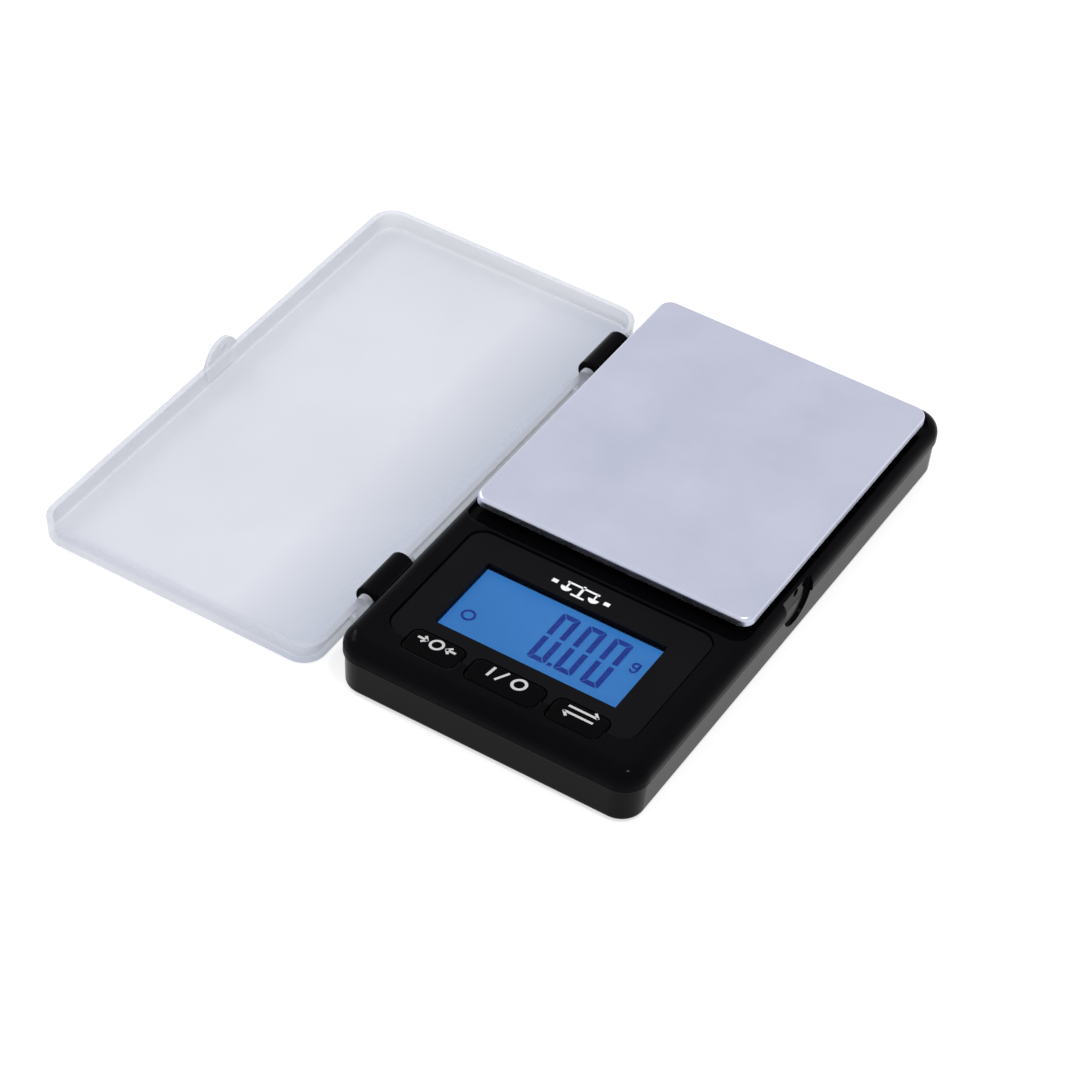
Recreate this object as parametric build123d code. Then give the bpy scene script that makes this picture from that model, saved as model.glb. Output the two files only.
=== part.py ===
"""Pocket digital gram scale with a clear lid folded open flat beside it.

Millimetres, +Z up. The origin is on the table, at the middle of the open scale's footprint, straight
below the lid's hinge line, which runs along Y. The case lies on the +X side and the open lid on the
-X side. The readout and its buttons are at the -Y end of the case and the weighing pan at the +Y end.
"""

from build123d import *
import os

# Driving dimensions of the case
CASE_WIDTH = 63.5
CASE_LENGTH = 120.0
CASE_TOP = 12.8
CASE_UNDERSIDE = 0.5
PARTING_Z = 8.3
CORNER_RADIUS = 5.3
WALL = 1.5
FLOOR = 1.2
SHELL_STEP = 0.35
DRAFT_DEG = 2.5
TOP_EDGE_RADIUS = 3.2
BOTTOM_EDGE_RADIUS = 0.9
FIT_GAP = 0.15
LIP_BOTTOM = 4.5
LIP_RISE = 1.1
SCOOP_RADIUS = 5.0
SCOOP_CENTRE_Z = 9.0

# Driving dimensions of the lid and its hinge
LID_WIDTH = 62.6
LID_LENGTH = 119.0
LID_DEPTH = 5.0
LID_WALL = 1.2
LID_FLOOR = 1.2
LID_DRAFT_DEG = 1.5
LID_CORNER_RADIUS = 5.1
HINGE_Z = 9.0
HINGE_TO_CASE = 2.05
HINGE_TO_LID = 2.5
BARREL_RADIUS = 2.65
PIN_RADIUS = 1.0
PIN_CLEARANCE = 0.05
BARREL_START = 33.2
BARREL_LENGTH = 12.0
EAR_THICKNESS = 1.4
EAR_RADIUS = 1.5
EAR_GAP = 0.2
TAB_RADIUS = 5.0
TAB_THICKNESS = 0.95
TAB_CENTRE_Z = 3.5
CATCH_RADIUS = 0.6
CATCH_PROUD = 0.3
CATCH_CLOSED_Z = 11.1

# Driving dimensions of the weighing end
PAN_WIDTH = 59.1
PAN_LENGTH = 71.8
PAN_CENTRE_Y = 19.2
PAN_TOP = 16.0
PAN_SHEET = 0.6
PAN_SKIRT = 1.9
PAN_CORNER_RADIUS = 2.6
BAY_HALF_WIDTH = 30.0
BAY_FRONT_Y = -19.4
BAY_BACK_Y = 56.6
BAY_FLOOR_TOP = 11.6
BAY_FLOOR_THICKNESS = 1.0
BEAM_LENGTH = 47.0
BEAM_WIDTH = 12.0
BEAM_BOTTOM = 3.0
BEAM_TOP = 9.0
BEAM_END_LENGTH = 14.5
BEAM_BORE_RADIUS = 2.3
BEAM_BORE_OFFSET = 4.5
BEAM_HOLE_OFFSETS = (12.5, 19.5)
M3_RADIUS = 1.5
CARRIER_TOP = 15.2
FOOT_RADIUS = 3.0

# Driving dimensions of the readout end
PANEL_HALF_WIDTH = 25.7
PANEL_FRONT_Y = -52.0
PANEL_BACK_Y = -20.4
PANEL_TOP = 12.5
PANEL_THICKNESS = 0.7
PANEL_GROOVE = 0.35
PANEL_CORNER_RADIUS = 3.2
WINDOW_WIDTH = 38.2
WINDOW_LENGTH = 18.5
WINDOW_CENTRE_Y = -36.55
LCD_TOP = 10.8
PLATE_UNDERSIDE = 10.9
BOARD_TOP = 7.3
BOARD_THICKNESS = 1.0
BUTTON_CENTRE_Y = -52.1
BUTTON_DEPTH = 6.2
BUTTON_TOP = 12.7
BUTTON_FLANGE_BOTTOM = 9.9
BUTTON_FLANGE = 0.7
BUTTONS = {"tare": (-15.1, 11.2), "power": (0.0, 15.0), "unit": (15.1, 11.2)}

# Driving dimensions of the coin cells and their door
CELL_RADIUS = 10.0
CELL_THICKNESS = 3.2
CELL_BOTTOM = 1.8
CELL_OFFSET = 10.6
CELL_CENTRE_Y = -36.0
DOOR_WIDTH = 47.0
DOOR_LENGTH = 24.5
DOOR_POST_RADIUS = 0.9
DOOR_POST_TOP = 4.4

# Worked-out places
CASE_X = HINGE_TO_CASE + CASE_WIDTH / 2
LID_X = -(HINGE_TO_LID + LID_WIDTH / 2)
CASE_RIGHT_X = HINGE_TO_CASE + CASE_WIDTH
INNER_FLOOR = CASE_UNDERSIDE + FLOOR
BOARD_BOTTOM = BOARD_TOP - BOARD_THICKNESS
BAY_FLOOR_UNDERSIDE = BAY_FLOOR_TOP - BAY_FLOOR_THICKNESS
CELL_TOP = CELL_BOTTOM + CELL_THICKNESS
DOOR_TOP = INNER_FLOOR - 0.1
BUTTON_FLANGE_TOP = PLATE_UNDERSIDE - 0.1
BEAM_FRONT_Y = PAN_CENTRE_Y - BEAM_LENGTH / 2
BEAM_BACK_Y = PAN_CENTRE_Y + BEAM_LENGTH / 2
BOSS_FRONT_Y = BEAM_BACK_Y - BEAM_END_LENGTH
STOP_PLACE = (0, BEAM_BACK_Y - 7.5)
BASE_SCREW_PLACES = [(0, PAN_CENTRE_Y - offset) for offset in BEAM_HOLE_OFFSETS]
CARRIER_SCREW_PLACES = [(0, PAN_CENTRE_Y + offset) for offset in BEAM_HOLE_OFFSETS]
DOOR_POSTS = [
    (sx * (DOOR_WIDTH / 2 - 1.6), CELL_CENTRE_Y + sy * 9.6) for sx in (-1, 1) for sy in (-1, 1)
]
SCREW_PLACES = [(sx * 26.0, sy * 54.3) for sx in (-1, 1) for sy in (-1, 1)]
FOOT_PLACES = [(sx * 26.8, sy * 45.0) for sx in (-1, 1) for sy in (-1, 1)]
BOARD_SCREW_PLACES = [(sx * 24.2, y) for sx in (-1, 1) for y in (-25.5, -46.5)]


def block(x0, x1, y0, y1, z0, z1):
    """A box given by its six faces."""
    size = (x1 - x0, y1 - y0, z1 - z0)
    return Pos((x0 + x1) / 2, (y0 + y1) / 2, (z0 + z1) / 2) * Box(*size)


def case_block(half_width, y0, y1, z0, z1, centre=0.0):
    """A box centred across the case, or off its centre line by centre."""
    middle = CASE_X + centre
    return block(middle - half_width, middle + half_width, y0, y1, z0, z1)


def post(x, y, radius, z0, z1):
    """An upright cylinder, placed from the case's centre line."""
    return Pos(CASE_X + x, y, (z0 + z1) / 2) * Cylinder(radius, z1 - z0)


def posts(places, radius, z0, z1):
    """The same upright cylinder at several places."""
    return [post(x, y, radius, z0, z1) for x, y in places]


def rounded_slab(x, y, width, length, radius, z0, z1, taper=0.0):
    """A plate with rounded corners; with taper it narrows as it rises."""
    outline = Pos(x, y, z0) * RectangleRounded(width, length, radius)
    return extrude(outline, z1 - z0, taper=taper)


def edges_at(solid, z):
    """The edges that lie wholly in the plane at height z."""
    return solid.edges().filter_by_position(Axis.Z, z - 0.01, z + 0.01)


def write(name, shape):
    """One STEP file for one node."""
    solids = ShapeList(shape).solids() if isinstance(shape, (list, tuple)) else shape.solids()
    whole = solids[0] if len(solids) == 1 else Compound(children=list(solids))
    whole.label = name
    export_step(whole, f"parts/{name}.step")


def lower_outline(inset):
    """Width, length and corner radius of the lower case, moved in by inset."""
    step = SHELL_STEP + inset
    return CASE_WIDTH - 2 * step, CASE_LENGTH - 2 * step, CORNER_RADIUS - step


def finger_scoop():
    """The recess in the right side wall that takes the lid's tab and a fingertip."""
    face_x = CASE_RIGHT_X - TAB_THICKNESS - FIT_GAP
    depth = 3.0
    bowl = Rot(0, 90, 0) * Cylinder(SCOOP_RADIUS, depth)
    round_part = Pos(face_x + depth / 2, 0, SCOOP_CENTRE_Z) * bowl
    slot = block(
        face_x, face_x + depth, -SCOOP_RADIUS, SCOOP_RADIUS, SCOOP_CENTRE_Z, CASE_TOP + 1)
    dimple = Pos(face_x, 0, CATCH_CLOSED_Z) * (Rot(0, 90, 0) * Cylinder(CATCH_RADIUS + 0.2, 0.8))
    return [round_part, slot, dimple]


def make_bottom_case():
    """Lower shell: drafted sides, floor, lip, bosses, battery bay and beam pedestal."""
    width, length, radius = lower_outline(0)
    tall = PARTING_Z - CASE_UNDERSIDE
    outline = Pos(CASE_X, 0, PARTING_Z) * RectangleRounded(width, length, radius)
    shell = extrude(outline, -tall, taper=DRAFT_DEG)
    shell = fillet(edges_at(shell, CASE_UNDERSIDE), BOTTOM_EDGE_RADIUS)
    width, length, radius = lower_outline(WALL + 0.3)
    shell -= rounded_slab(CASE_X, 0, width, length, radius, INNER_FLOOR, PARTING_Z + 1)

    lip_top = PARTING_Z + LIP_RISE
    outer = lower_outline(WALL - SHELL_STEP + 0.12)
    inner = lower_outline(WALL + 0.5)
    lip = rounded_slab(CASE_X, 0, *outer, LIP_BOTTOM, lip_top)
    lip -= rounded_slab(CASE_X, 0, *inner, LIP_BOTTOM, lip_top)
    shell += lip
    pad_x = CASE_RIGHT_X - WALL - 1.2
    shell += block(pad_x, CASE_RIGHT_X - WALL - 0.2, -7.5, 7.5, INNER_FLOOR, PARTING_Z)

    shell += posts(SCREW_PLACES, 3.2, INNER_FLOOR, 5.5)
    ring_gap = 0.3
    pair = rounded_slab(
        CASE_X, CELL_CENTRE_Y, 2 * (CELL_OFFSET + CELL_RADIUS + ring_gap),
        2 * (CELL_RADIUS + ring_gap), 9.9, INNER_FLOOR, CELL_TOP + 0.2)
    bay_wall = rounded_slab(
        CASE_X, CELL_CENTRE_Y, DOOR_WIDTH + 3.0, DOOR_LENGTH + 1.2, 9.0, INNER_FLOOR, CELL_TOP + 0.2)
    shell += bay_wall
    shell -= pair
    shell -= rounded_slab(
        CASE_X, CELL_CENTRE_Y, DOOR_WIDTH + 2 * FIT_GAP, DOOR_LENGTH + 2 * FIT_GAP, 3.0,
        CASE_UNDERSIDE - 1, INNER_FLOOR)
    shell -= posts(DOOR_POSTS, DOOR_POST_RADIUS + 0.1, INNER_FLOOR - 0.1, CELL_TOP)

    shell += case_block(
        BEAM_WIDTH / 2, BEAM_FRONT_Y, BEAM_FRONT_Y + BEAM_END_LENGTH, INNER_FLOOR, BEAM_BOTTOM)
    shell += posts([STOP_PLACE], 3.0, INNER_FLOOR, INNER_FLOOR + 0.5)

    shell -= posts(SCREW_PLACES, 2.1, CASE_UNDERSIDE - 1, 2.3)
    shell -= posts(SCREW_PLACES, 1.1, 0, 6)
    shell -= posts(FOOT_PLACES, FOOT_RADIUS + 0.05, CASE_UNDERSIDE - 1, CASE_UNDERSIDE + 0.4)
    shell -= posts(BASE_SCREW_PLACES, 2.8, CASE_UNDERSIDE - 1, 1.9)
    shell -= posts(BASE_SCREW_PLACES, 1.6, 0, 3.5)
    shell -= posts([STOP_PLACE], M3_RADIUS, 0, 3)
    shell -= finger_scoop()
    return shell


def hinge_barrels():
    """Two snap barrels on the left side, with their webs and slit bores."""
    body = []
    cuts = []
    for side in (-1, 1):
        middle = side * (BARREL_START + BARREL_LENGTH / 2)
        turn = Rot(90, 0, 0)
        barrel = Pos(0, middle, HINGE_Z) * (turn * Cylinder(BARREL_RADIUS, BARREL_LENGTH))
        barrel = fillet(barrel.edges().filter_by(GeomType.CIRCLE), 0.4)
        barrel -= block(HINGE_TO_CASE + 0.2, HINGE_TO_CASE + 2, middle - 8, middle + 8, 5, PARTING_Z + 0.05)
        low = middle - BARREL_LENGTH / 2
        high = middle + BARREL_LENGTH / 2
        web = block(0, HINGE_TO_CASE + 0.8, low + 0.4, high - 0.4, PARTING_Z + 0.1, HINGE_Z + 1.9)
        body += [barrel, web]
        bore = Pos(0, middle, HINGE_Z) * (
            turn * Cylinder(PIN_RADIUS + PIN_CLEARANCE, BARREL_LENGTH + 2))
        slit = block(-0.7, 0.7, low - 1, high + 1, HINGE_Z - BARREL_RADIUS - 1, HINGE_Z)
        cuts += [bore, slit]
    return body, cuts


def make_top_case():
    """Upper shell: rounded rim, panel seat, button holes, pan bay and hinge barrels."""
    shell = rounded_slab(CASE_X, 0, CASE_WIDTH, CASE_LENGTH, CORNER_RADIUS, PARTING_Z, CASE_TOP)
    shell = fillet(edges_at(shell, CASE_TOP), TOP_EDGE_RADIUS)
    barrels, bores = hinge_barrels()
    shell += barrels
    shell -= rounded_slab(
        CASE_X, 0, CASE_WIDTH - 2 * WALL, CASE_LENGTH - 2 * WALL, CORNER_RADIUS - WALL,
        PARTING_Z - 1, BAY_FLOOR_UNDERSIDE)
    shell -= case_block(28.0, -57.0, BAY_FRONT_Y - 1.2, PARTING_Z, PLATE_UNDERSIDE)

    bay_length = BAY_BACK_Y - BAY_FRONT_Y
    bay_middle = (BAY_BACK_Y + BAY_FRONT_Y) / 2
    shell -= rounded_slab(
        CASE_X, bay_middle, 2 * BAY_HALF_WIDTH, bay_length, 3.0, BAY_FLOOR_TOP, CASE_TOP + 1)
    shell -= case_block(
        BEAM_WIDTH / 2 + 1.4, BOSS_FRONT_Y - 1.2, BEAM_BACK_Y + 1.2,
        BAY_FLOOR_UNDERSIDE - 1, BAY_FLOOR_TOP + 1)

    shell -= panel_outline(PANEL_GROOVE, PANEL_TOP - PANEL_THICKNESS, CASE_TOP + 1)
    shell -= case_block(
        WINDOW_WIDTH / 2, WINDOW_CENTRE_Y - WINDOW_LENGTH / 2, WINDOW_CENTRE_Y + WINDOW_LENGTH / 2,
        PLATE_UNDERSIDE - 1, CASE_TOP)
    shell -= button_shapes(FIT_GAP, PLATE_UNDERSIDE - 1, CASE_TOP + 1)

    shell += posts(SCREW_PLACES, 2.4, 5.7, BAY_FLOOR_UNDERSIDE + 0.2)
    shell -= posts(SCREW_PLACES, 1.0, 5, 9.6)
    shell += posts(BOARD_SCREW_PLACES, 1.8, BOARD_TOP, PLATE_UNDERSIDE)
    shell -= posts(BOARD_SCREW_PLACES, 0.8, BOARD_TOP - 1, 10.2)
    shell -= finger_scoop()
    shell -= bores
    return shell


def panel_outline(grow, z0, z1):
    """The display panel's rounded outline as a slab, grown all round by grow."""
    length = PANEL_BACK_Y - PANEL_FRONT_Y + 2 * grow
    middle = (PANEL_BACK_Y + PANEL_FRONT_Y) / 2
    return rounded_slab(
        CASE_X, middle, 2 * (PANEL_HALF_WIDTH + grow), length,
        PANEL_CORNER_RADIUS + grow, z0, z1)


def button_shapes(grow, z0, z1):
    """The three button outlines as slabs, grown all round by grow."""
    corner = 1.7
    return [
        rounded_slab(
            CASE_X + x, BUTTON_CENTRE_Y, width + 2 * grow, BUTTON_DEPTH + 2 * grow, corner + grow,
            z0, z1)
        for x, width in BUTTONS.values()
    ]


def make_display_panel():
    """Flat inlay that frames the readout, notched where the buttons cross its front edge."""
    base = PANEL_TOP - PANEL_THICKNESS
    panel = panel_outline(0, base, PANEL_TOP)
    panel -= case_block(
        WINDOW_WIDTH / 2, WINDOW_CENTRE_Y - WINDOW_LENGTH / 2, WINDOW_CENTRE_Y + WINDOW_LENGTH / 2,
        base - 1, PANEL_TOP + 1)
    panel -= button_shapes(FIT_GAP + 0.1, base - 1, PANEL_TOP + 1)
    return panel


def make_display_window():
    """Thin clear sheet that fills the readout opening just above the LCD."""
    slack = 0.05
    half = WINDOW_WIDTH / 2 - slack
    reach = WINDOW_LENGTH / 2 - slack
    return case_block(half, WINDOW_CENTRE_Y - reach, WINDOW_CENTRE_Y + reach, 10.95, 11.35)


def readout_stack():
    """LCD glass, backlight, holder frame and zebra strip, stacked on the board."""
    half = 20.6
    back = -25.4
    front = -46.6
    glass = case_block(half, front, back, 9.7, LCD_TOP)
    glass -= case_block(half, front - 1, front + 0.7, LCD_TOP - 0.55, LCD_TOP + 1)
    light = case_block(half - 0.1, front + 2.4, back - 0.1, BOARD_TOP, 9.7)
    zebra = case_block(half - 1.2, front + 0.3, front + 2.0, BOARD_TOP, 9.7)
    gap = 0.1
    wall = 1.1
    frame = case_block(
        half + gap + wall, front - gap - wall, back + gap + wall, BOARD_TOP, LCD_TOP)
    frame -= case_block(half + gap, front - gap, back + gap, BOARD_TOP - 1, LCD_TOP + 1)
    return glass, light, zebra, frame


def make_board():
    """Circuit board with a tongue under the buttons and holes for its screws."""
    board = rounded_slab(CASE_X, -36.0, 54.0, 28.0, 1.0, BOARD_BOTTOM, BOARD_TOP)
    board += rounded_slab(CASE_X, -49.0, 42.0, 15.0, 1.0, BOARD_BOTTOM, BOARD_TOP)
    board -= posts(BOARD_SCREW_PLACES, 1.0, BOARD_BOTTOM - 1, BOARD_TOP + 1)
    return board


def make_chips():
    """Parts under the board: sealed processor, converter chip and crystal."""
    y = -52.0
    dome = post(0, y, 3.6, BOARD_BOTTOM - 1.1, BOARD_BOTTOM)
    dome = fillet(edges_at(dome, BOARD_BOTTOM - 1.1), 0.9)
    chip = case_block(3.0, y - 2.0, y + 2.0, BOARD_BOTTOM - 1.4, BOARD_BOTTOM, centre=-12)
    crystal = Pos(CASE_X + 11, y, BOARD_BOTTOM - 1.0) * (Rot(0, 90, 0) * Cylinder(1.0, 6.0))
    return [dome, chip, crystal]


def switch_parts():
    """Three tactile switch housings and the plungers that slide in them."""
    housing_top = 9.2
    housings = []
    plungers = {}
    for name, (x, _) in BUTTONS.items():
        housing = case_block(
            2.6, BUTTON_CENTRE_Y - 1.8, BUTTON_CENTRE_Y + 1.8, BOARD_TOP, housing_top, centre=x)
        housing -= post(x, BUTTON_CENTRE_Y, 1.15, BOARD_TOP + 0.4, housing_top + 1)
        housings.append(housing)
        plungers[name] = post(x, BUTTON_CENTRE_Y, 1.1, BOARD_TOP + 0.8, BUTTON_FLANGE_BOTTOM)
    return housings, plungers


def make_button(name):
    """Key cap with a crowned top edge and a flange that keeps it in the case."""
    x, width = BUTTONS[name]
    cap = rounded_slab(
        CASE_X + x, BUTTON_CENTRE_Y, width, BUTTON_DEPTH, 1.7, BUTTON_FLANGE_BOTTOM, BUTTON_TOP)
    cap = fillet(edges_at(cap, BUTTON_TOP), 0.5)
    flange = case_block(
        width / 2 + BUTTON_FLANGE, BUTTON_CENTRE_Y - BUTTON_DEPTH / 2 - BUTTON_FLANGE,
        BUTTON_CENTRE_Y + BUTTON_DEPTH / 2 + 0.5, BUTTON_FLANGE_BOTTOM, BUTTON_FLANGE_TOP, centre=x)
    return cap + flange


def make_cells():
    """Two coin cells with the smaller negative face upwards."""
    cells = []
    for side in (-1, 1):
        can = post(side * CELL_OFFSET, CELL_CENTRE_Y, CELL_RADIUS, CELL_BOTTOM, CELL_TOP - 0.4)
        can = fillet(edges_at(can, CELL_BOTTOM), 0.3)
        can += post(side * CELL_OFFSET, CELL_CENTRE_Y, CELL_RADIUS - 1.2, CELL_TOP - 0.4, CELL_TOP)
        cells.append(can)
    return cells


def make_contacts():
    """Sprung negative leaves over the cells, and the strap that touches both rims."""
    thick = 0.3
    leaves = []
    for side in (-1, 1):
        x = side * CELL_OFFSET
        y = CELL_CENTRE_Y
        foot = case_block(2.0, y + 4.0, y + 7.0, BOARD_BOTTOM - thick, BOARD_BOTTOM, centre=x)
        tip = case_block(2.0, y - 5.0, y - 2.0, CELL_TOP, CELL_TOP + thick, centre=x)
        slope = Plane.YZ.offset(CASE_X + x - 2.0) * Polygon(
            (y - 2.0, CELL_TOP), (y + 4.0, BOARD_BOTTOM - thick),
            (y + 4.0, BOARD_BOTTOM), (y - 2.0, CELL_TOP + thick), align=None)
        leaves.append(foot + tip + extrude(slope, 4.0))
    y = CELL_CENTRE_Y + CELL_RADIUS
    strap = block(CASE_X - 3.0, CASE_X + 3.0, y - 2.6, y - 2.3, CELL_TOP - 2.4, BOARD_BOTTOM)
    return leaves, strap


def make_battery_door():
    """Flush door on the underside, with push-in posts and grip grooves."""
    door = rounded_slab(
        CASE_X, CELL_CENTRE_Y, DOOR_WIDTH, DOOR_LENGTH, 3.0 - FIT_GAP, CASE_UNDERSIDE, DOOR_TOP)
    door += posts(DOOR_POSTS, DOOR_POST_RADIUS, DOOR_TOP, DOOR_POST_TOP)
    for i in range(4):
        x = CASE_X + DOOR_WIDTH / 2 - 4.0 - 1.6 * i
        door -= block(x - 0.4, x + 0.4, CELL_CENTRE_Y - 6, CELL_CENTRE_Y + 6, 0, CASE_UNDERSIDE + 0.35)
    return door


def make_load_cell():
    """Single-point beam: two bores joined by a slot leave four thin flexures."""
    beam = case_block(BEAM_WIDTH / 2, BEAM_FRONT_Y, BEAM_BACK_Y, BEAM_BOTTOM, BEAM_TOP)
    middle_z = (BEAM_BOTTOM + BEAM_TOP) / 2
    for side in (-1, 1):
        hole = Rot(0, 90, 0) * Cylinder(BEAM_BORE_RADIUS, BEAM_WIDTH + 2)
        beam -= Pos(CASE_X, PAN_CENTRE_Y + side * BEAM_BORE_OFFSET, middle_z) * hole
    beam -= case_block(
        BEAM_WIDTH / 2 + 1, PAN_CENTRE_Y - BEAM_BORE_OFFSET, PAN_CENTRE_Y + BEAM_BORE_OFFSET,
        middle_z - 1, middle_z + 1)
    beam -= posts(BASE_SCREW_PLACES + CARRIER_SCREW_PLACES, M3_RADIUS, BEAM_BOTTOM - 1, BEAM_TOP + 1)
    return beam


def gauge_parts():
    """Four strain gauges over the flexures, and the soft coat that seals them."""
    gauges = []
    coats = []
    for low, high, coat_low, coat_high in (
        (BEAM_TOP, BEAM_TOP + 0.1, BEAM_TOP, BEAM_TOP + 0.6),
        (BEAM_BOTTOM - 0.1, BEAM_BOTTOM, BEAM_BOTTOM - 0.6, BEAM_BOTTOM),
    ):
        pair = [
            case_block(2.0, PAN_CENTRE_Y + y - 2.5, PAN_CENTRE_Y + y + 2.5, low, high)
            for y in (-BEAM_BORE_OFFSET, BEAM_BORE_OFFSET)
        ]
        coat = case_block(4.5, PAN_CENTRE_Y - 8.0, PAN_CENTRE_Y + 8.0, coat_low, coat_high)
        coats.append(coat - pair)
        gauges += pair
    return gauges, coats


def make_load_cell_wires():
    """Four fine leads from the coated gauges forward to the board's back edge."""
    radius = 0.3
    start_y = PAN_CENTRE_Y - 8.0
    run_z = BEAM_TOP + radius + 0.05
    end_z = BOARD_TOP + radius + 0.05
    wires = []
    for i in range(4):
        x = CASE_X + 3.2 + 0.75 * i
        path = FilletPolyline(
            (x, start_y, run_z), (x, -8.0, run_z), (x, -16.0, end_z), (x, -23.0, end_z), radius=4.0)
        profile = Plane(origin=(x, start_y, run_z), z_dir=(0, -1, 0)) * Circle(radius)
        wires.append(sweep(profile, path))
    return wires


def screws(places, head_radius, head_z, neck_z, shank_radius, tip_z):
    """Cross-recess screws: head from head_z to neck_z, shank on to tip_z, heads outwards."""
    made = []
    up = 1 if tip_z > head_z else -1
    for x, y in places:
        head = post(x, y, head_radius, min(head_z, neck_z), max(head_z, neck_z))
        shank = post(x, y, shank_radius, min(neck_z, tip_z), max(neck_z, tip_z))
        screw = head + shank
        depth = 0.6 * abs(neck_z - head_z)
        arm = 0.55 * head_radius
        low = min(head_z, head_z + up * depth)
        high = max(head_z, head_z + up * depth)
        screw -= case_block(arm, y - 0.2, y + 0.2, low, high, centre=x)
        screw -= case_block(0.2, y - arm, y + arm, low, high, centre=x)
        made.append(screw)
    return made


def make_stop_screw():
    """Slotted grub screw that the beam's free end meets when it is overloaded."""
    x, y = STOP_PLACE
    screw = post(x, y, M3_RADIUS, 0.8, BEAM_BOTTOM - 0.45)
    return screw - case_block(2.0, y - 0.2, y + 0.2, 0.8, 1.3, centre=x)


def make_carrier():
    """Platform under the pan: shallow inverted tray with a boss on the beam's free end."""
    width = PAN_WIDTH - 4.4
    length = PAN_LENGTH - 4.4
    low = BAY_FLOOR_TOP + 0.8
    tray = rounded_slab(CASE_X, PAN_CENTRE_Y, width, length, 2.0, low, CARRIER_TOP)
    tray -= rounded_slab(
        CASE_X, PAN_CENTRE_Y, width - 2.4, length - 2.4, 1.2, low - 1, CARRIER_TOP - 1.0)
    for offset in (-16.0, 16.0):
        tray += case_block(
            0.6, PAN_CENTRE_Y - length / 2 + 1, PAN_CENTRE_Y + length / 2 - 1,
            low + 0.6, CARRIER_TOP - 0.9, centre=offset)
    tray += case_block(BEAM_WIDTH / 2, BOSS_FRONT_Y, BEAM_BACK_Y, BEAM_TOP, CARRIER_TOP - 0.5)
    tray -= posts(CARRIER_SCREW_PLACES, 2.8, CARRIER_TOP - 1.8, CARRIER_TOP + 1)
    tray -= posts(CARRIER_SCREW_PLACES, 1.6, BEAM_TOP - 1, CARRIER_TOP)
    return tray


def make_pan():
    """Pressed steel weighing pan: flat top, rolled edge and a short folded skirt."""
    low = PAN_TOP - PAN_SKIRT
    pan = rounded_slab(CASE_X, PAN_CENTRE_Y, PAN_WIDTH, PAN_LENGTH, PAN_CORNER_RADIUS, low, PAN_TOP)
    pan = fillet(edges_at(pan, PAN_TOP), 0.8)
    inner = rounded_slab(
        CASE_X, PAN_CENTRE_Y, PAN_WIDTH - 2 * PAN_SHEET, PAN_LENGTH - 2 * PAN_SHEET,
        PAN_CORNER_RADIUS - PAN_SHEET, low - 1, PAN_TOP - PAN_SHEET)
    inner = fillet(edges_at(inner, PAN_TOP - PAN_SHEET), 0.3)
    return pan - inner


def make_adhesive_pads():
    """Four thin adhesive pads that hold the pan on its carrier."""
    return [
        case_block(
            6.0, PAN_CENTRE_Y + y - 5.0, PAN_CENTRE_Y + y + 5.0, CARRIER_TOP, PAN_TOP - PAN_SHEET,
            centre=x)
        for x in (-18.0, 18.0) for y in (-26.0, 26.0)
    ]


def make_feet():
    """Four rubber feet in shallow seats, with a softened lower edge."""
    feet = []
    for foot in posts(FOOT_PLACES, FOOT_RADIUS, 0, CASE_UNDERSIDE + 0.4):
        feet.append(fillet(edges_at(foot, 0), 0.25))
    return feet


def lid_ear(y0, y1):
    """Arm from the lid's hinge-side wall round to the hinge line."""
    disc = Pos(0, (y0 + y1) / 2, HINGE_Z) * (Rot(90, 0, 0) * Cylinder(EAR_RADIUS, y1 - y0))
    leg = block(-1.3, 0.6, y0, y1, LID_DEPTH - 1.6, HINGE_Z)
    bridge = block(-HINGE_TO_LID - 0.6, 0.3, y0, y1, LID_DEPTH - 1.6, LID_DEPTH - 0.1)
    return disc + leg + bridge


def make_lid():
    """Clear lid, lying open on its outer face: tray, hinge ears with pins, and catch tab."""
    outline = Pos(LID_X, 0, LID_DEPTH) * RectangleRounded(LID_WIDTH, LID_LENGTH, LID_CORNER_RADIUS)
    lid = extrude(outline, -LID_DEPTH, taper=3.0)
    lid = fillet(edges_at(lid, 0), 1.3)
    cavity_outline = Pos(LID_X, 0, LID_DEPTH + 1) * RectangleRounded(
        LID_WIDTH - 2 * LID_WALL, LID_LENGTH - 2 * LID_WALL, LID_CORNER_RADIUS - LID_WALL)
    cavity = extrude(cavity_outline, -(LID_DEPTH + 1 - LID_FLOOR), taper=LID_DRAFT_DEG)
    cavity = fillet(edges_at(cavity, LID_FLOOR), 0.5)
    tray = lid - cavity
    for side in (-1, 1):
        near = side * BARREL_START
        far = side * (BARREL_START + BARREL_LENGTH)
        outer = EAR_GAP + EAR_THICKNESS
        ends = (
            sorted((near - side * EAR_GAP, near - side * outer)),
            sorted((far + side * EAR_GAP, far + side * outer)),
        )
        for y0, y1 in ends:
            tray += lid_ear(y0, y1)
        pin_length = BARREL_LENGTH + EAR_GAP + outer
        pin = Pos(0, (near + far) / 2, HINGE_Z) * (Rot(90, 0, 0) * Cylinder(PIN_RADIUS, pin_length))
        tray += pin
    tab_x = -CASE_RIGHT_X + TAB_THICKNESS / 2
    tab = Pos(tab_x, 0, TAB_CENTRE_Z) * (Rot(0, 90, 0) * Cylinder(TAB_RADIUS, TAB_THICKNESS))
    tab -= block(-CASE_RIGHT_X - 1, -CASE_RIGHT_X + 2, -6, 6, -2, 0.3)
    tray += tab
    catch_z = 2 * HINGE_Z - CATCH_CLOSED_Z
    inner_face = -CASE_RIGHT_X + TAB_THICKNESS
    tray += Pos(inner_face, 0, catch_z) * (Rot(0, 90, 0) * Cylinder(CATCH_RADIUS, 2 * CATCH_PROUD))
    return tray


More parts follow.
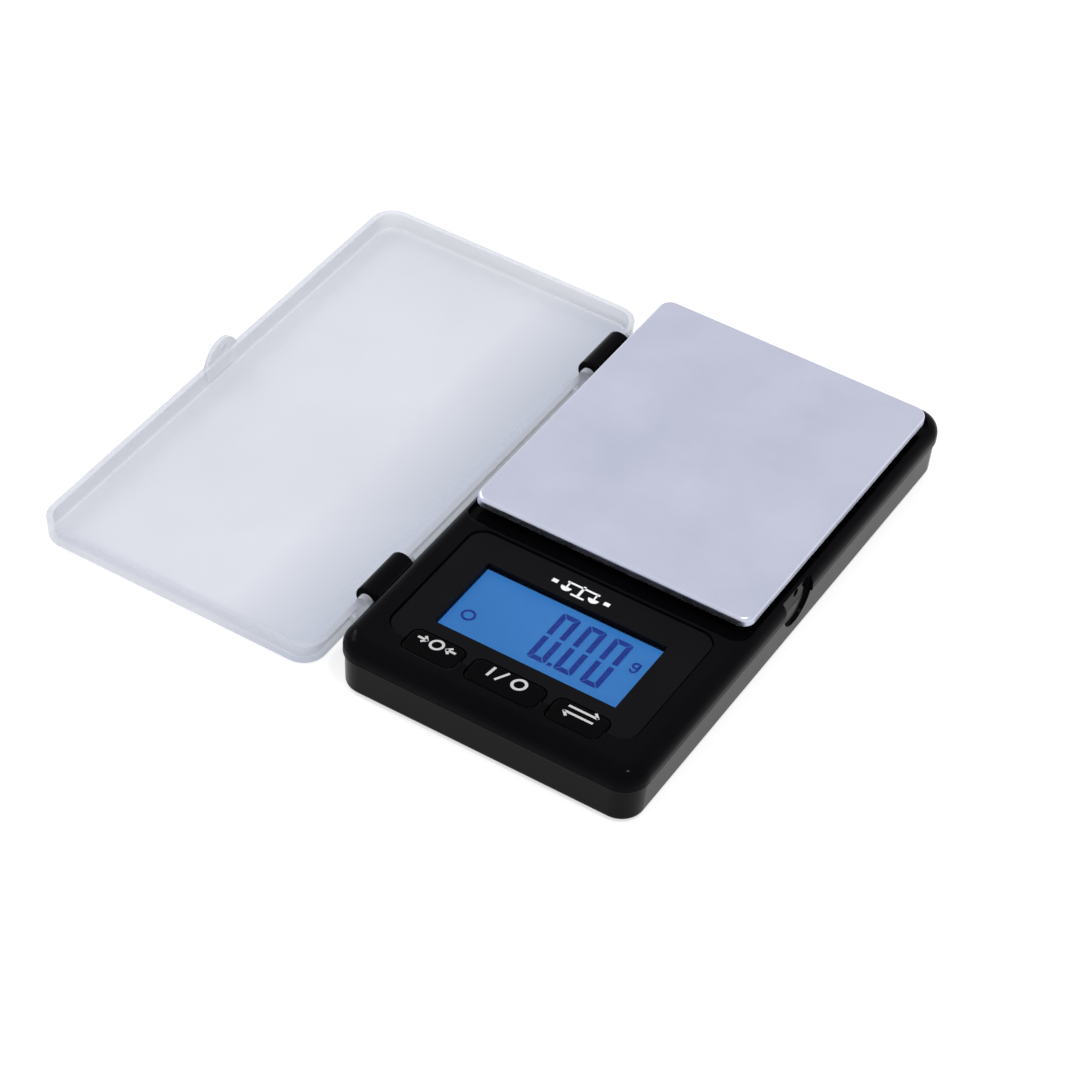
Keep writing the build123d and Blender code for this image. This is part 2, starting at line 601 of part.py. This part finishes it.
def main():
    os.makedirs("parts", exist_ok=True)
    glass, light, zebra, holder = readout_stack()
    housings, plungers = switch_parts()
    leaves, strap = make_contacts()
    gauges, coats = gauge_parts()
    nodes = {
        "bottom_case": make_bottom_case(),
        "top_case": make_top_case(),
        "display_panel": make_display_panel(),
        "display_window": make_display_window(),
        "lcd_glass": glass,
        "lcd_backlight": light,
        "lcd_holder": holder,
        "zebra_strip": zebra,
        "main_circuit_board": make_board(),
        "circuit_chips": make_chips(),
        "tact_switch_housings": housings,
        "board_screws": screws(BOARD_SCREW_PLACES, 1.7, 5.3, BOARD_BOTTOM, 0.8, 9.8),
        "coin_cells": make_cells(),
        "negative_contact_leaves": leaves,
        "positive_contact_strap": strap,
        "battery_door": make_battery_door(),
        "load_cell": make_load_cell(),
        "strain_gauges": gauges,
        "gauge_coating": coats,
        "load_cell_wires": make_load_cell_wires(),
        "load_cell_base_screws": screws(BASE_SCREW_PLACES, 2.7, 0.6, 1.9, M3_RADIUS, 7.5),
        "overload_stop_screw": make_stop_screw(),
        "platform_carrier": make_carrier(),
        "carrier_screws": screws(
            CARRIER_SCREW_PLACES, 2.7, CARRIER_TOP - 0.1, CARRIER_TOP - 1.8, M3_RADIUS, 4.5),
        "pan_adhesive_pads": make_adhesive_pads(),
        "weighing_pan": make_pan(),
        "case_screws": screws(SCREW_PLACES, 2.0, 0.8, 2.3, 1.0, 9.2),
        "rubber_feet": make_feet(),
        "lid": make_lid(),
    }
    for name in BUTTONS:
        nodes[f"{name}_button"] = make_button(name)
        nodes[f"{name}_switch_plunger"] = plungers[name]
    for name, shape in nodes.items():
        write(name, shape)


main()
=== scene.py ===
"""Looks for the pocket gram scale: camera, studio, materials and printed marks around the CAD frame."""

import math

import bmesh
import bpy
from mathutils import Matrix, Vector


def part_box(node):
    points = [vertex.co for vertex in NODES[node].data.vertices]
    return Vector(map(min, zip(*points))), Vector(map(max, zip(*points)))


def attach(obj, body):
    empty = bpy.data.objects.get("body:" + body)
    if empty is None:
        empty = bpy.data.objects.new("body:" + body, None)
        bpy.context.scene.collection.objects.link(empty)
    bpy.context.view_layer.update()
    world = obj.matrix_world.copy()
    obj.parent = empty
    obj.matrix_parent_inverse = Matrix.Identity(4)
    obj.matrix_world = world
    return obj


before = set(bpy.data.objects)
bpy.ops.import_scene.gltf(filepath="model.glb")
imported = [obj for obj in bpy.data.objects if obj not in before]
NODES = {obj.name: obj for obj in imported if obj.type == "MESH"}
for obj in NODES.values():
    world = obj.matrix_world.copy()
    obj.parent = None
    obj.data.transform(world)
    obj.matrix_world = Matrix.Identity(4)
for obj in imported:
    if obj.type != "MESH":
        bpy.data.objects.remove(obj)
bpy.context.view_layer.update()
MM = 0.001

# ---------------------------------------------------------------- places taken from the frame
PAN_LOW, PAN_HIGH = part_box("weighing_pan")
PANEL_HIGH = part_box("display_panel")[1]
WINDOW_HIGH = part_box("display_window")[1]
LCD_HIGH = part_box("lcd_glass")[1]
CASE_X = (PAN_LOW.x + PAN_HIGH.x) / 2

# ---------------------------------------------------------------- sizes of the readout, in millimetres
SEGMENT_WIDTH = 1.15
SEGMENT_GAP = 0.36
MITRE = 0.1
CHAMFER = 0.3
DIGIT_COUNT = 3
DIGIT_WIDTH = 3.9
DIGIT_HEIGHT = 13.3
DIGIT_PITCH = 5.55
FIRST_DIGIT_X = -1.65
DIGITS_BELOW_LCD_TOP = 16.9
POINT_SIZE = 0.9
POINT_OFFSET = 0.35
LEVEL_RING = (-15.6, -14.1)
LEVEL_RING_RADIUS = 1.2
LEVEL_RING_STROKE = 0.55
GRAM_SIGN = (16.2, -7.8)
GRAM_SIGN_RADIUS = 0.62
GRAM_SIGN_STROKE = 0.5

# ---------------------------------------------------------------- sizes of the printed signs, in millimetres
INK_THICKNESS = 0.02
SEGMENT_THICKNESS = 0.03
KEY_SIGN_STROKE = 0.5
KEY_SIGN_OFFSET_Y = 1.25
KEY_SIGN_LEAN = 0.12
BALANCE_OFFSET = (-1.1, -0.3)
BALANCE_ARM = 2.9
BALANCE_PAN_RADIUS = 1.1
BALANCE_STROKE = 0.45

# ---------------------------------------------------------------- studio, in metres
TABLE_HALF = 1.5
TABLE_DROP = 0.00005
CAMERA_AZIMUTH = 28.6
CAMERA_ELEVATION = 42.85
CAMERA_ROLL = 4.6
CAMERA_DISTANCE = 0.6742
CAMERA_LENS = 118.03
CAMERA_TARGET = (CASE_X - 0.02107, -0.00473, 0.0)


# ---------------------------------------------------------------- node helpers
def new_material(name):
    """A material with its node tree, and its Principled shader."""
    material = bpy.data.materials.new(name)
    material.use_nodes = True
    return material, material.node_tree, material.node_tree.nodes["Principled BSDF"]


def object_coords(tree, scale=(1, 1, 1)):
    """Object coordinates, stretched by scale; one unit is a metre before scaling."""
    coords = tree.nodes.new("ShaderNodeTexCoord")
    mapping = tree.nodes.new("ShaderNodeMapping")
    mapping.inputs["Scale"].default_value = scale
    tree.links.new(coords.outputs["Object"], mapping.inputs["Vector"])
    return mapping.outputs["Vector"]


def noise(tree, vector, scale, detail=3.0, roughness=0.5):
    """Noise value output at so many features per unit."""
    node = tree.nodes.new("ShaderNodeTexNoise")
    node.inputs["Scale"].default_value = scale
    node.inputs["Detail"].default_value = detail
    node.inputs["Roughness"].default_value = roughness
    tree.links.new(vector, node.inputs["Vector"])
    return node.outputs["Fac"]


def spread(tree, value, low, high, from_low=0.3, from_high=0.7):
    """The value remapped to run from low to high."""
    node = tree.nodes.new("ShaderNodeMapRange")
    node.inputs["From Min"].default_value = from_low
    node.inputs["From Max"].default_value = from_high
    node.inputs["To Min"].default_value = low
    node.inputs["To Max"].default_value = high
    tree.links.new(value, node.inputs["Value"])
    return node.outputs["Result"]


def tint(tree, value, low, high):
    """The value as a colour between low and high."""
    node = tree.nodes.new("ShaderNodeMix")
    node.data_type = "RGBA"
    node.inputs["A"].default_value = (*low, 1)
    node.inputs["B"].default_value = (*high, 1)
    tree.links.new(value, node.inputs["Factor"])
    return node.outputs["Result"]


def bump(tree, shader, value, strength, distance):
    """Bumps the shader's normal by the value."""
    node = tree.nodes.new("ShaderNodeBump")
    node.inputs["Strength"].default_value = strength
    node.inputs["Distance"].default_value = distance
    tree.links.new(value, node.inputs["Height"])
    tree.links.new(node.outputs["Normal"], shader.inputs["Normal"])
    return node


def plastic(name, dark, light, rough, grain_scale=2600.0, grain=0.15, specular=0.3, edge=0.0):
    """Moulded plastic: slight colour drift, handled-gloss variation and a fine moulded skin.

    With edge, corners catch the light as if rounded to that radius in metres.
    """
    material, tree, shader = new_material(name)
    vector = object_coords(tree)
    drift = noise(tree, vector, 45.0, detail=4.0)
    tree.links.new(tint(tree, spread(tree, drift, 0, 1), dark, light), shader.inputs["Base Color"])
    smear = noise(tree, vector, 130.0, detail=5.0, roughness=0.6)
    tree.links.new(spread(tree, smear, rough[0], rough[1]), shader.inputs["Roughness"])
    skin = noise(tree, vector, grain_scale, detail=2.0)
    soft_edge = bump(tree, shader, skin, grain, 0.00002)
    if edge:
        rounding = tree.nodes.new("ShaderNodeBevel")
        rounding.samples = 6
        rounding.inputs["Radius"].default_value = edge
        tree.links.new(rounding.outputs["Normal"], soft_edge.inputs["Normal"])
    shader.inputs["Specular IOR Level"].default_value = specular
    return material


# ---------------------------------------------------------------- materials
def upper_case_plastic():
    """Polished black shell."""
    return plastic(
        "gloss_black_abs", (0.0010, 0.0010, 0.0018), (0.0020, 0.0020, 0.0028), (0.07, 0.13),
        grain=0.06, specular=0.025, edge=0.0003)


def lower_case_plastic():
    """Black shell with a fine spark-eroded texture, greyer where light grazes it."""
    return plastic(
        "textured_black_abs", (0.0006, 0.0006, 0.0008), (0.0016, 0.0016, 0.0018), (0.15, 0.23),
        grain_scale=3600.0, grain=0.3, specular=0.068, edge=0.0002)


def panel_plastic():
    """Satin black inlay round the readout."""
    return plastic(
        "satin_panel", (0.0020, 0.0020, 0.0030), (0.0036, 0.0036, 0.0050), (0.32, 0.42),
        grain=0.3, specular=0.035)


def button_plastic():
    """Black key caps, a little duller than the case."""
    return plastic(
        "gloss_key", (0.0006, 0.0006, 0.0010), (0.0012, 0.0012, 0.0016), (0.16, 0.24),
        specular=0.02, edge=0.0002)


def satin_plastic(name, colour, rough=(0.45, 0.6)):
    """Satin plastic, rubber or film drifting from its colour to a slightly lighter one."""
    lighter = tuple(min(1.0, c * 1.25 + 0.004) for c in colour)
    return plastic(name, colour, lighter, rough, grain=0.4)


def pan_steel():
    """Satin stainless steel: fine straight grain, faint mottling and light handling marks."""
    material, tree, shader = new_material("satin_steel_pan")
    shader.inputs["Metallic"].default_value = 1.0
    vector = object_coords(tree)
    grain_vector = object_coords(tree, (1.0, 40.0, 1.0))
    mottle = noise(tree, vector, 60.0, detail=5.0)
    tree.links.new(
        tint(tree, spread(tree, mottle, 0, 1), (0.495, 0.520, 0.640), (0.555, 0.575, 0.695)),
        shader.inputs["Base Color"])
    grain = noise(tree, grain_vector, 260.0, detail=6.0, roughness=0.65)
    tree.links.new(spread(tree, grain, 0.26, 0.38), shader.inputs["Roughness"])
    bump(tree, shader, grain, 0.12, 0.00001)
    return material


def bright_metal(name, colour, rough):
    """Small metal parts: plated or machined."""
    material, tree, shader = new_material(name)
    shader.inputs["Metallic"].default_value = 1.0
    vector = object_coords(tree)
    mottle = noise(tree, vector, 900.0, detail=4.0)
    darker = tuple(c * 0.85 for c in colour)
    tree.links.new(tint(tree, spread(tree, mottle, 0, 1), darker, colour), shader.inputs["Base Color"])
    tree.links.new(spread(tree, mottle, rough[0], rough[1]), shader.inputs["Roughness"])
    bump(tree, shader, mottle, 0.1, 0.00001)
    return material


def lid_plastic():
    """Clear polystyrene with a light frost, so the table shows through it pale and soft.

    Its floor carries painted shade, deeper toward the hinge where the case darkens it; the walls keep the
    clear colour.
    """
    material, tree, shader = new_material("clear_frosted_lid")
    vector = object_coords(tree)
    drift = noise(tree, vector, 25.0, detail=3.0)
    clear = tint(tree, spread(tree, drift, 0, 1), (0.51, 0.53, 0.60), (0.56, 0.58, 0.65))
    # painted shade: the floor's colour is mixed toward a dark blue-grey near the hinge, standing in for the
    # case's shade
    axes = tree.nodes.new("ShaderNodeSeparateXYZ")
    tree.links.new(vector, axes.inputs["Vector"])
    hinge_shade_mask = tree.nodes.new("ShaderNodeMath")
    hinge_shade_mask.operation = "MULTIPLY"
    tree.links.new(spread(tree, axes.outputs["X"], 0, 1, -0.026, -0.005), hinge_shade_mask.inputs[0])
    tree.links.new(spread(tree, axes.outputs["Z"], 1, 0, 0.0018, 0.0032), hinge_shade_mask.inputs[1])
    painted_hinge_shade = tree.nodes.new("ShaderNodeMix")
    painted_hinge_shade.data_type = "RGBA"
    tree.links.new(hinge_shade_mask.outputs["Value"], painted_hinge_shade.inputs["Factor"])
    tree.links.new(clear, painted_hinge_shade.inputs["A"])
    painted_hinge_shade.inputs["B"].default_value = (0.33, 0.37, 0.48, 1)
    tree.links.new(painted_hinge_shade.outputs["Result"], shader.inputs["Base Color"])
    frost = noise(tree, vector, 420.0, detail=5.0)
    tree.links.new(spread(tree, frost, 0.14, 0.22), shader.inputs["Roughness"])
    edge = tree.nodes.new("ShaderNodeLayerWeight")
    edge.inputs["Blend"].default_value = 0.35
    tree.links.new(spread(tree, edge.outputs["Facing"], 0.40, 0.80, 0.1, 0.9), shader.inputs["Alpha"])
    shader.inputs["IOR"].default_value = 1.55
    bump(tree, shader, frost, 0.06, 0.00001)
    return material


def window_plastic():
    """Thin clear sheet over the readout."""
    material, tree, shader = new_material("clear_window")
    vector = object_coords(tree)
    smear = noise(tree, vector, 300.0, detail=4.0)
    tree.links.new(spread(tree, smear, 0.03, 0.08), shader.inputs["Roughness"])
    shader.inputs["Base Color"].default_value = (0.02, 0.03, 0.05, 1)
    shader.inputs["Alpha"].default_value = 0.10
    shader.inputs["Specular IOR Level"].default_value = 0.2
    return material


def lcd_blue():
    """Backlit blue liquid-crystal glass, slightly uneven in its glow."""
    material, tree, shader = new_material("lcd_backlit_blue")
    vector = object_coords(tree)
    glow = noise(tree, vector, 40.0, detail=2.0)
    lit = tint(tree, spread(tree, glow, 0, 1), (0.026, 0.175, 0.52), (0.040, 0.205, 0.58))
    dark = tint(tree, spread(tree, glow, 0, 1), (0.004, 0.020, 0.06), (0.005, 0.024, 0.07))
    tree.links.new(dark, shader.inputs["Base Color"])
    tree.links.new(lit, shader.inputs["Emission Color"])
    shader.inputs["Emission Strength"].default_value = 0.95
    shader.inputs["Specular IOR Level"].default_value = 0.1
    film = noise(tree, vector, 3000.0, detail=2.0)
    tree.links.new(spread(tree, film, 0.22, 0.32), shader.inputs["Roughness"])
    return material


def lcd_ink():
    """Switched-on segments: deep blue with a trace of backlight bleeding through."""
    material, tree, shader = new_material("lcd_segment_ink")
    vector = object_coords(tree)
    bleed = noise(tree, vector, 500.0, detail=3.0)
    tone = tint(tree, spread(tree, bleed, 0, 1), (0.006, 0.028, 0.27), (0.010, 0.045, 0.34))
    tree.links.new(tone, shader.inputs["Emission Color"])
    shader.inputs["Base Color"].default_value = (0.001, 0.004, 0.04, 1)
    shader.inputs["Emission Strength"].default_value = 0.8
    shader.inputs["Roughness"].default_value = 0.35
    shader.inputs["Specular IOR Level"].default_value = 0.1
    return material


def print_ink(name, dark, light):
    """Pad-printed ink, slightly uneven."""
    material, tree, shader = new_material(name)
    vector = object_coords(tree)
    cover = noise(tree, vector, 4000.0, detail=4.0)
    tree.links.new(tint(tree, spread(tree, cover, 0, 1), dark, light), shader.inputs["Base Color"])
    shader.inputs["Roughness"].default_value = 0.5
    bump(tree, shader, cover, 0.2, 0.00001)
    return material


def board_green():
    """Solder-masked laminate with a faint woven look."""
    material, tree, shader = new_material("solder_mask")
    vector = object_coords(tree)
    weave = noise(tree, vector, 2200.0, detail=2.0)
    tree.links.new(
        tint(tree, spread(tree, weave, 0, 1), (0.012, 0.085, 0.035), (0.02, 0.13, 0.055)),
        shader.inputs["Base Color"])
    tree.links.new(spread(tree, weave, 0.3, 0.45), shader.inputs["Roughness"])
    bump(tree, shader, weave, 0.2, 0.00002)
    return material


def dress_nodes():
    """Every CAD node gets its finish."""
    lower = lower_case_plastic()
    screw = bright_metal("nickel_screw", (0.62, 0.62, 0.64), (0.25, 0.4))
    contact = bright_metal("plated_contact", (0.78, 0.66, 0.38), (0.2, 0.35))
    black = satin_plastic("satin_black", (0.012, 0.012, 0.013))
    plunger = satin_plastic("ivory_plunger", (0.62, 0.56, 0.45))
    key = button_plastic()
    finishes = {
        "bottom_case": lower,
        "top_case": upper_case_plastic(),
        "battery_door": lower,
        "display_panel": panel_plastic(),
        "display_window": window_plastic(),
        "lcd_glass": lcd_blue(),
        "lcd_backlight": satin_plastic("light_guide", (0.75, 0.78, 0.82), (0.3, 0.4)),
        "lcd_holder": black,
        "zebra_strip": satin_plastic("zebra_rubber", (0.22, 0.22, 0.24), (0.6, 0.75)),
        "main_circuit_board": board_green(),
        "circuit_chips": black,
        "tact_switch_housings": black,
        "board_screws": screw,
        "case_screws": screw,
        "carrier_screws": screw,
        "load_cell_base_screws": screw,
        "overload_stop_screw": screw,
        "coin_cells": bright_metal("cell_can", (0.74, 0.74, 0.76), (0.22, 0.34)),
        "negative_contact_leaves": contact,
        "positive_contact_strap": contact,
        "load_cell": bright_metal("milled_aluminium", (0.80, 0.81, 0.82), (0.3, 0.45)),
        "strain_gauges": satin_plastic("gauge_film", (0.50, 0.30, 0.07), (0.25, 0.35)),
        "gauge_coating": satin_plastic("white_silicone", (0.78, 0.78, 0.76), (0.4, 0.55)),
        "load_cell_wires": satin_plastic("red_wire", (0.45, 0.03, 0.025), (0.35, 0.5)),
        "platform_carrier": black,
        "pan_adhesive_pads": satin_plastic("adhesive_foam", (0.70, 0.70, 0.66), (0.7, 0.85)),
        "weighing_pan": pan_steel(),
        "rubber_feet": satin_plastic("foot_rubber", (0.018, 0.018, 0.018), (0.65, 0.8)),
        "lid": lid_plastic(),
        "tare_button": key,
        "power_button": key,
        "unit_button": key,
        "tare_switch_plunger": plunger,
        "power_switch_plunger": plunger,
        "unit_switch_plunger": plunger,
    }
    for name, node in NODES.items():
        node.data.materials.clear()
        node.data.materials.append(finishes[name])


# ---------------------------------------------------------------- printed marks
def flat_piece(name, outlines, z, thickness, material, body):
    """A thin raised print made of closed outlines, lying at height z."""
    mesh = bmesh.new()
    for outline in outlines:
        lower = [mesh.verts.new((x, y, z)) for x, y in outline]
        upper = [mesh.verts.new((x, y, z + thickness)) for x, y in outline]
        count = len(outline)
        mesh.faces.new(upper)
        mesh.faces.new(list(reversed(lower)))
        for i in range(count):
            j = (i + 1) % count
            mesh.faces.new((lower[i], lower[j], upper[j], upper[i]))
    bmesh.ops.recalc_face_normals(mesh, faces=mesh.faces)
    data = bpy.data.meshes.new(name)
    mesh.to_mesh(data)
    mesh.free()
    data.materials.append(material)
    piece = bpy.data.objects.new(name, data)
    bpy.context.scene.collection.objects.link(piece)
    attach(piece, body)
    return piece


def bar(x0, y0, x1, y1, width):
    """A straight stroke as a four-sided outline."""
    start = Vector((x0, y0))
    end = Vector((x1, y1))
    side = (end - start).normalized().orthogonal() * (width / 2)
    return [start + side, start - side, end - side, end + side]


def arc_bars(cx, cy, radius, start, end, width, steps=24):
    """A circular stroke from start to end degrees, as short joined quads."""
    quads = []
    for i in range(steps):
        a = math.radians(start + (end - start) * i / steps)
        b = math.radians(start + (end - start) * (i + 1) / steps)
        inner = radius - width / 2
        outer = radius + width / 2
        quads.append([
            Vector((cx + inner * math.cos(a), cy + inner * math.sin(a))),
            Vector((cx + inner * math.cos(b), cy + inner * math.sin(b))),
            Vector((cx + outer * math.cos(b), cy + outer * math.sin(b))),
            Vector((cx + outer * math.cos(a), cy + outer * math.sin(a))),
        ])
    return quads


def place(outlines, x, y, lean=0.0):
    """Outlines in millimetres moved to a place on the case, optionally leaning to the right."""
    return [[Vector((x + (p[0] + lean * p[1]) * MM, y + p[1] * MM)) for p in o] for o in outlines]


def digit_zero():
    """The six outer segments of a seven-segment digit, mitred, with small gaps."""
    w = DIGIT_WIDTH
    h = DIGIT_HEIGHT
    t = SEGMENT_WIDTH
    c = MITRE
    k = CHAMFER
    above = h / 2 + SEGMENT_GAP
    below = h / 2 - SEGMENT_GAP
    upper_left = [(0, above), (0, h - c - k), (k, h - c), (t, h - t - c), (t, above)]
    lower_left = [(0, below), (t, below), (t, t + c), (k, c), (0, c + k)]
    top = [(c + k, h), (w - c - k, h), (w - t - c, h - t), (t + c, h - t)]
    bottom = [(c + k, 0), (t + c, t), (w - t - c, t), (w - c - k, 0)]
    mirrored = [[(w - x, y) for x, y in seg] for seg in (upper_left, lower_left)]
    return [upper_left, lower_left, *mirrored, top, bottom]


def readout(ink):
    """0.00 with a small level mark at the left and the gram sign at the right."""
    base_y = LCD_HIGH.y - DIGITS_BELOW_LCD_TOP * MM
    shapes = []
    for i in range(DIGIT_COUNT):
        shapes += place(digit_zero(), CASE_X + (FIRST_DIGIT_X + DIGIT_PITCH * i) * MM, base_y)
    left = FIRST_DIGIT_X + DIGIT_WIDTH + POINT_OFFSET
    right = left + POINT_SIZE
    point = [(left, 0), (right, 0), (right, POINT_SIZE), (left, POINT_SIZE)]
    shapes += place([point], CASE_X, base_y)
    ring = arc_bars(0, 0, LEVEL_RING_RADIUS, 0, 360, LEVEL_RING_STROKE, 28)
    shapes += place(ring, CASE_X + LEVEL_RING[0] * MM, LCD_HIGH.y + LEVEL_RING[1] * MM)
    radius = GRAM_SIGN_RADIUS
    gram = arc_bars(0, 0, radius, 0, 360, GRAM_SIGN_STROKE, 24)
    gram += [bar(radius, 0.75, radius, -1.2, GRAM_SIGN_STROKE)]
    gram += arc_bars(0, -1.15, radius, 180, 360, 0.45, 12)
    shapes += place(gram, CASE_X + GRAM_SIGN[0] * MM, LCD_HIGH.y + GRAM_SIGN[1] * MM)
    flat_piece("readout_segments", shapes, LCD_HIGH.z, SEGMENT_THICKNESS * MM, ink, "case")


def arrow_head(tip_x, y, reach, half_height, overlap):
    """Two strokes meeting at a tip; a negative reach points the arrow to the left."""
    back = tip_x - reach
    return [
        bar(back, y + half_height, tip_x + overlap, y - 0.08, KEY_SIGN_STROKE),
        bar(back, y - half_height, tip_x + overlap, y + 0.08, KEY_SIGN_STROKE),
    ]


def key_marks(ink):
    """Plain pictograms on the keys: back to zero, on and off, and change unit."""
    stroke = KEY_SIGN_STROKE
    marks = {
        "tare": [
            *arc_bars(0, 0, 1.15, 0, 360, stroke, 28),
            bar(-4.0, 0, -2.0, 0, stroke),
            *arrow_head(-2.0, 0, 0.9, 0.85, 0.05),
            bar(4.0, 0, 2.0, 0, stroke),
            *arrow_head(2.0, 0, -0.9, 0.85, -0.05),
        ],
        "power": [
            bar(-3.6, 1.3, -3.6, -1.3, 0.55),
            bar(-1.9, -1.4, -0.7, 1.4, stroke),
            *arc_bars(2.3, 0, 1.25, 0, 360, 0.55, 28),
        ],
        "unit": [
            bar(-3.0, 0.75, 3.0, 0.75, stroke),
            bar(1.9, 1.75, 3.05, 0.7, stroke),
            bar(3.0, -0.75, -3.0, -0.75, stroke),
            bar(-1.9, -1.75, -3.05, -0.7, stroke),
        ],
    }
    for name, outlines in marks.items():
        low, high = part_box(f"{name}_button")
        middle = (low + high) / 2
        shapes = place(outlines, middle.x, middle.y + KEY_SIGN_OFFSET_Y * MM, lean=KEY_SIGN_LEAN)
        flat_piece(f"{name}_mark", shapes, high.z, INK_THICKNESS * MM, ink, f"{name}_key")


def panel_mark(ink):
    """A plain balance-beam sign above the readout."""
    radius = BALANCE_PAN_RADIUS
    turns = [math.radians(a) for a in range(180, 361, 15)]
    half_disc = [(radius * math.cos(a), radius * math.sin(a)) for a in turns]
    shapes = [
        bar(-BALANCE_ARM - 0.5, 1.15, BALANCE_ARM + 0.5, 1.15, BALANCE_STROKE),
        bar(0, 1.7, 0, -1.3, 0.55),
        bar(-1.4, -1.45, 1.4, -1.45, BALANCE_STROKE),
    ]
    for side in (-1, 1):
        x = side * BALANCE_ARM
        shapes += [
            bar(x, 1.15, x, -0.3, 0.35),
            [(x + px, py - 0.25) for px, py in half_disc],
            bar(x + side * 2.0, 0, x + side * 3.2, 0, 0.9),
        ]
    centre_x = CASE_X + BALANCE_OFFSET[0] * MM
    centre_y = (WINDOW_HIGH.y + PANEL_HIGH.y) / 2 + BALANCE_OFFSET[1] * MM
    shapes = place(shapes, centre_x, centre_y)
    flat_piece("panel_mark", shapes, PANEL_HIGH.z, INK_THICKNESS * MM, ink, "case")


# ---------------------------------------------------------------- studio
def table_and_lights():
    """A pale table that glows a little, a white surround and three soft lamps."""
    half = TABLE_HALF
    mesh = bpy.data.meshes.new("table")
    mesh.from_pydata(
        [(-half, -half, 0), (half, -half, 0), (half, half, 0), (-half, half, 0)], [], [(0, 1, 2, 3)])
    table = bpy.data.objects.new("table", mesh)
    table.location.z = -TABLE_DROP
    bpy.context.scene.collection.objects.link(table)
    material, _, shader = new_material("pale_table")
    shader.inputs["Base Color"].default_value = (0.50, 0.50, 0.50, 1)
    shader.inputs["Emission Color"].default_value = (1.0, 1.0, 1.0, 1)
    shader.inputs["Emission Strength"].default_value = 0.60
    shader.inputs["Roughness"].default_value = 0.6
    shader.inputs["Specular IOR Level"].default_value = 0.2
    mesh.materials.append(material)

    world = bpy.data.worlds.new("studio")
    world.use_nodes = True
    background = world.node_tree.nodes["Background"]
    background.inputs["Color"].default_value = (1.0, 1.0, 1.0, 1)
    background.inputs["Strength"].default_value = 1.0
    bpy.context.scene.world = world
    bpy.context.scene.view_settings.view_transform = "Standard"

    soft_light("back_softbox", (-0.85, 0.30, 0.70), (0, 0, 0), (0.35, 0.25), 1.6)
    soft_light("left_softbox", (-0.7, -0.1, 0.55), (0, 0, 0), (0.3, 0.3), 1.0)
    soft_light("glint_lamp", (0.26, -0.16, 0.64), (CASE_X, 0, 0), (0.07, 0.07), 1.2)


def soft_light(name, place_m, aim_m, size, watts):
    """A rectangular lamp at a place, aimed at a point."""
    data = bpy.data.lights.new(name, "AREA")
    data.shape = "RECTANGLE"
    data.size, data.size_y = size
    data.energy = watts
    lamp = bpy.data.objects.new(name, data)
    lamp.location = place_m
    direction = Vector(aim_m) - Vector(place_m)
    lamp.rotation_mode = "QUATERNION"
    lamp.rotation_quaternion = direction.to_track_quat("-Z", "Y")
    bpy.context.scene.collection.objects.link(lamp)


def camera():
    """Looks from above the right front, with a slight roll."""
    azimuth = math.radians(CAMERA_AZIMUTH)
    elevation = math.radians(CAMERA_ELEVATION)
    roll = math.radians(CAMERA_ROLL)
    back = Vector((
        math.sin(azimuth) * math.cos(elevation), -math.cos(azimuth) * math.cos(elevation),
        math.sin(elevation)))
    right = Vector((math.cos(azimuth), math.sin(azimuth), 0.0))
    up = back.cross(right)
    rolled_right = right * math.cos(roll) + up * math.sin(roll)
    rolled_up = up * math.cos(roll) - right * math.sin(roll)
    data = bpy.data.cameras.new("camera")
    data.sensor_width = 36.0
    data.lens = CAMERA_LENS
    data.clip_start = 0.01
    data.clip_end = 10.0
    cam = bpy.data.objects.new("camera", data)
    turn = Matrix((rolled_right, rolled_up, back)).transposed()
    cam.matrix_world = Matrix.Translation(Vector(CAMERA_TARGET) + back * CAMERA_DISTANCE) @ turn.to_4x4()
    bpy.context.scene.collection.objects.link(cam)
    bpy.context.scene.camera = cam


dress_nodes()
readout(lcd_ink())
key_marks(print_ink("grey_white_print", (0.36, 0.36, 0.37), (0.50, 0.50, 0.51)))
panel_mark(print_ink("white_print", (0.62, 0.63, 0.64), (0.78, 0.79, 0.80)))
table_and_lights()
camera()

bpy.context.view_layer.update()
